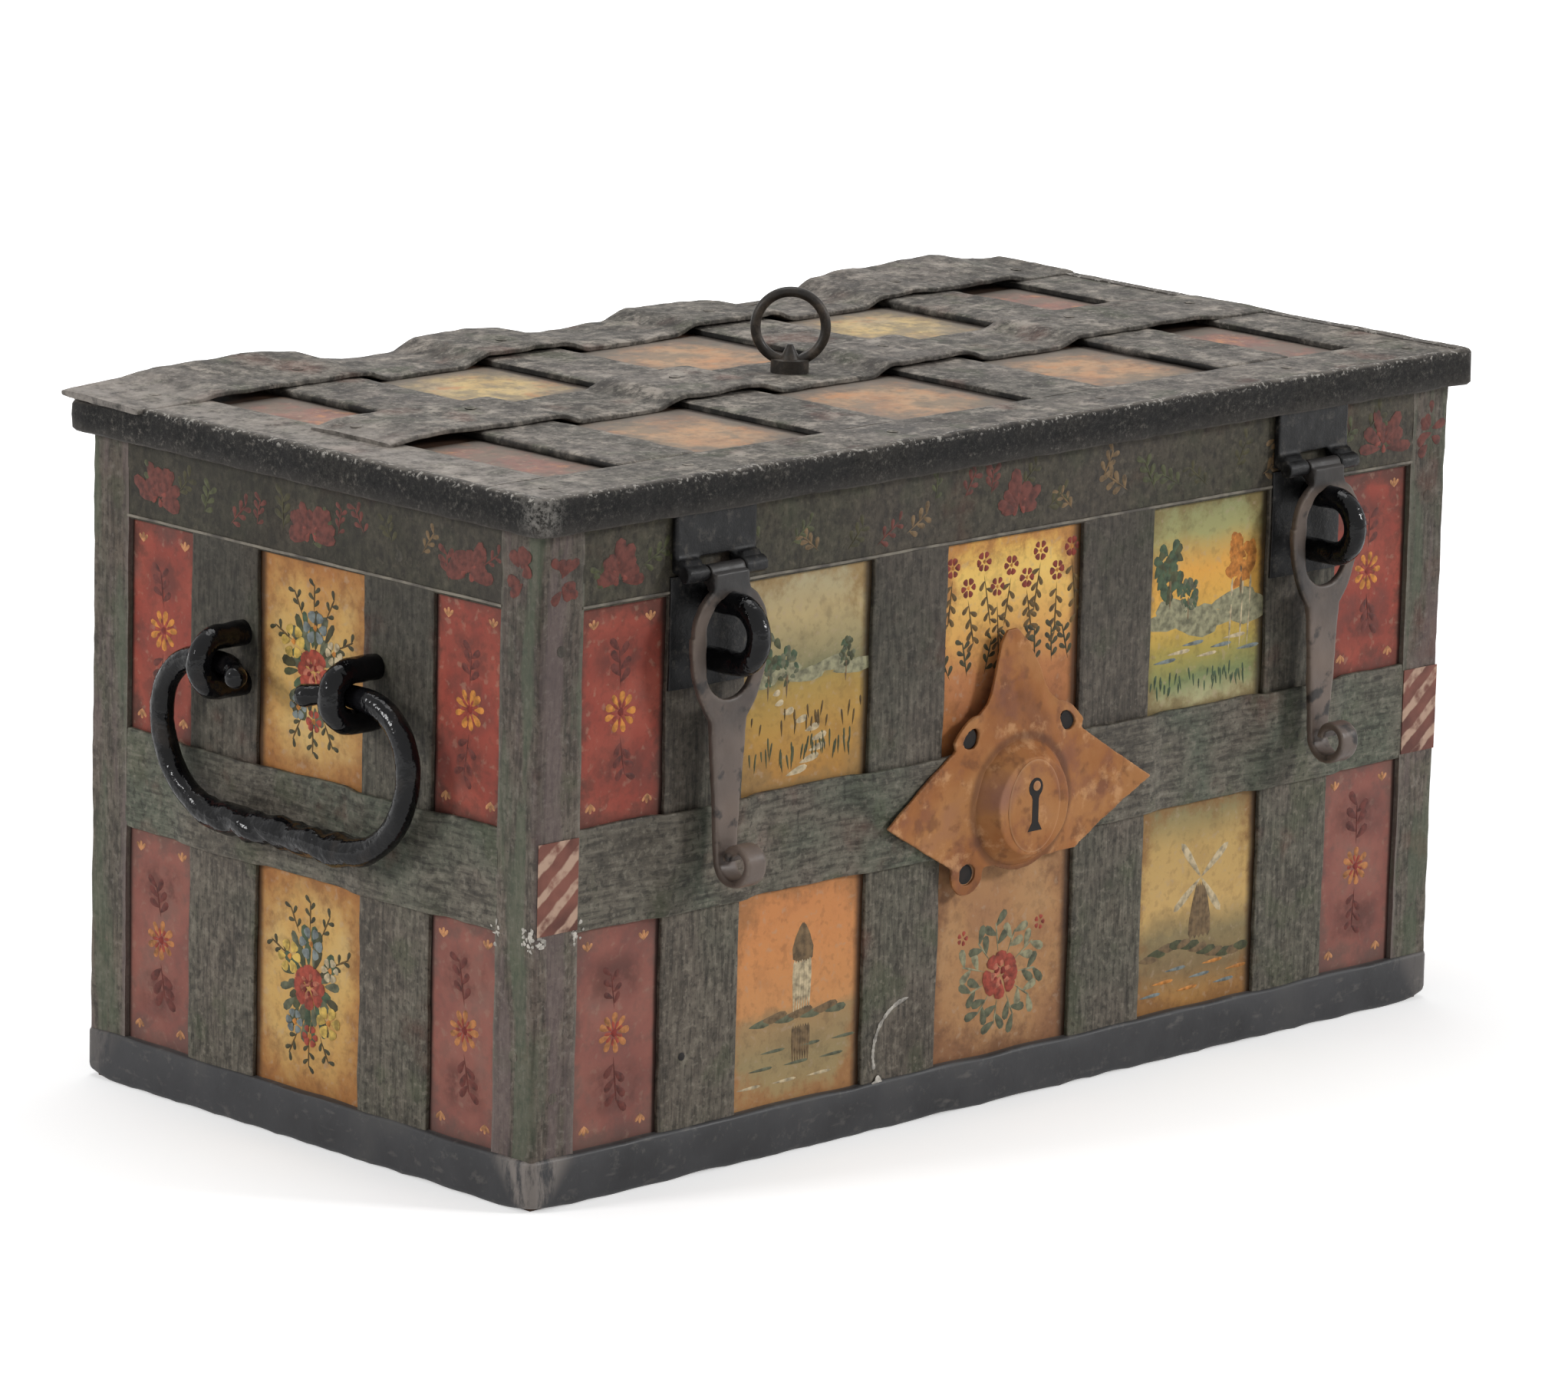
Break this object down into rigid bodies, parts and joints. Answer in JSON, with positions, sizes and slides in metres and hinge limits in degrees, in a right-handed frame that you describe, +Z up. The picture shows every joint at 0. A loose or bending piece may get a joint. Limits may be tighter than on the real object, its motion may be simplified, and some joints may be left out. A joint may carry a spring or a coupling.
{
  "type": "coffer chest",
  "caption": "Painted iron strongbox of riveted straps with a hinged lid, drop handles, hasps over staples, and a key in the lid that throws the lock's bolts under the rim.",
  "frame": {"origin": "centre of the floor plate's underside", "axes": "+X along the length to the right seen from the front, +Y to the hinged back, +Z up"},
  "size_m": [0.6186, 0.338, 0.3404],
  "materials": {
    "painted_panels": "worn paint",
    "lid_panels": "worn paint",
    "strap_paint": "worn satin paint",
    "edge_paint": "dark pitted paint",
    "base_paint": "dark satin paint",
    "black_iron": "blackened, glossy",
    "bright_iron": "filed",
    "bare_iron": "dark forged",
    "escutcheon_paint": "worn copper-brown"
  },
  "bodies": {
    "chest": {"back_left_corner_angle": "strap_paint", "back_middle_band": "strap_paint", "back_right_corner_angle": "strap_paint", "back_sheet": "painted_panels", "back_uprights": "strap_paint", "base_bands": "base_paint", "escutcheon_boss": "escutcheon_paint", "escutcheon_plate": "escutcheon_paint", "floor_flanges": "bare_iron", "floor_plate": "bare_iron", "front_left_corner_angle": "strap_paint", "front_middle_band": "strap_paint", "front_right_corner_angle": "strap_paint", "front_sheet": "painted_panels", "front_uprights": "strap_paint", "hinge_pins": "black_iron", "left_end_middle_band": "strap_paint", "left_end_sheet": "painted_panels", "left_end_uprights": "strap_paint", "left_handle_staples": "black_iron", "left_hasp_staple": "black_iron", "left_hinge_leaf": "black_iron", "right_end_middle_band": "strap_paint", "right_end_sheet": "painted_panels", "right_end_uprights": "strap_paint", "right_handle_staples": "black_iron", "right_hasp_staple": "black_iron", "right_hinge_leaf": "black_iron", "rim_bars": "bare_iron", "top_bands": "strap_paint", "wall_rivets": "strap_paint"},
    "lid": {"lid_plate": "lid_panels", "lid_edge_bars": "edge_paint", "lid_front_strip": "strap_paint", "lid_middle_strip": "strap_paint", "lid_back_strip": "strap_paint", "lid_left_border": "strap_paint", "lid_right_border": "strap_paint", "lid_inner_straps": "strap_paint", "left_hinge_strap": "strap_paint", "right_hinge_strap": "strap_paint", "lid_rivets": "strap_paint", "lock_plate": "bright_iron", "bolt_keepers": "bright_iron", "lock_bridge": "bright_iron", "left_hasp_leaf": "black_iron", "right_hasp_leaf": "black_iron", "hasp_pins": "black_iron"},
    "left_handle": {"left_handle": "black_iron"},
    "right_handle": {"right_handle": "black_iron"},
    "left_hasp": {"left_hasp": "black_iron"},
    "right_hasp": {"right_hasp": "black_iron"},
    "key_drive": {"key": "bright_iron", "drive_disc": "bright_iron"},
    "front_bolt": {"front_bolt": "bright_iron"},
    "back_bolt": {"back_bolt": "bright_iron"},
    "left_bolt": {"left_bolt": "bright_iron"},
    "right_bolt": {"right_bolt": "bright_iron"}
  },
  "joints": [
    {"name": "lid_hinge", "type": "hinge", "parent": "chest", "child": "lid", "pos_m": [0, 0.157, 0.287], "axis": [-1, 0, 0], "range_deg": [0, 100]},
    {"name": "left_hasp_swing", "type": "hinge", "parent": "lid", "child": "left_hasp", "pos_m": [-0.1848, -0.1505, 0.262], "axis": [-1, 0, 0], "range_deg": [0, 110]},
    {"name": "right_hasp_swing", "type": "hinge", "parent": "lid", "child": "right_hasp", "pos_m": [0.1848, -0.1505, 0.262], "axis": [-1, 0, 0], "range_deg": [0, 110]},
    {"name": "left_handle_swing", "type": "hinge", "parent": "chest", "child": "left_handle", "pos_m": [-0.294, 0, 0.20424], "axis": [0, 1, 0], "range_deg": [0, 170]},
    {"name": "right_handle_swing", "type": "hinge", "parent": "chest", "child": "right_handle", "pos_m": [0.294, 0, 0.20424], "axis": [0, -1, 0], "range_deg": [0, 170]},
    {"name": "key_turn", "type": "hinge", "parent": "lid", "child": "key_drive", "pos_m": [0, 0, 0.3], "axis": [0, 0, 1], "range_deg": [0, 80]},
    {"name": "front_bolt_slide", "type": "slide", "parent": "lid", "child": "front_bolt", "axis": [0, -1, 0], "range_m": [0, 0.014]},
    {"name": "back_bolt_slide", "type": "slide", "parent": "lid", "child": "back_bolt", "axis": [0, 1, 0], "range_m": [0, 0.014]},
    {"name": "left_bolt_slide", "type": "slide", "parent": "lid", "child": "left_bolt", "axis": [-1, 0, 0], "range_m": [0, 0.014]},
    {"name": "right_bolt_slide", "type": "slide", "parent": "lid", "child": "right_bolt", "axis": [1, 0, 0], "range_m": [0, 0.014]}
  ],
  "couplings": [
    {"joint": "front_bolt_slide", "follows": "key_turn", "m_per_rad": 0.010027},
    {"joint": "back_bolt_slide", "follows": "key_turn", "m_per_rad": 0.010027},
    {"joint": "left_bolt_slide", "follows": "key_turn", "m_per_rad": 0.010027},
    {"joint": "right_bolt_slide", "follows": "key_turn", "m_per_rad": 0.010027}
  ]
}
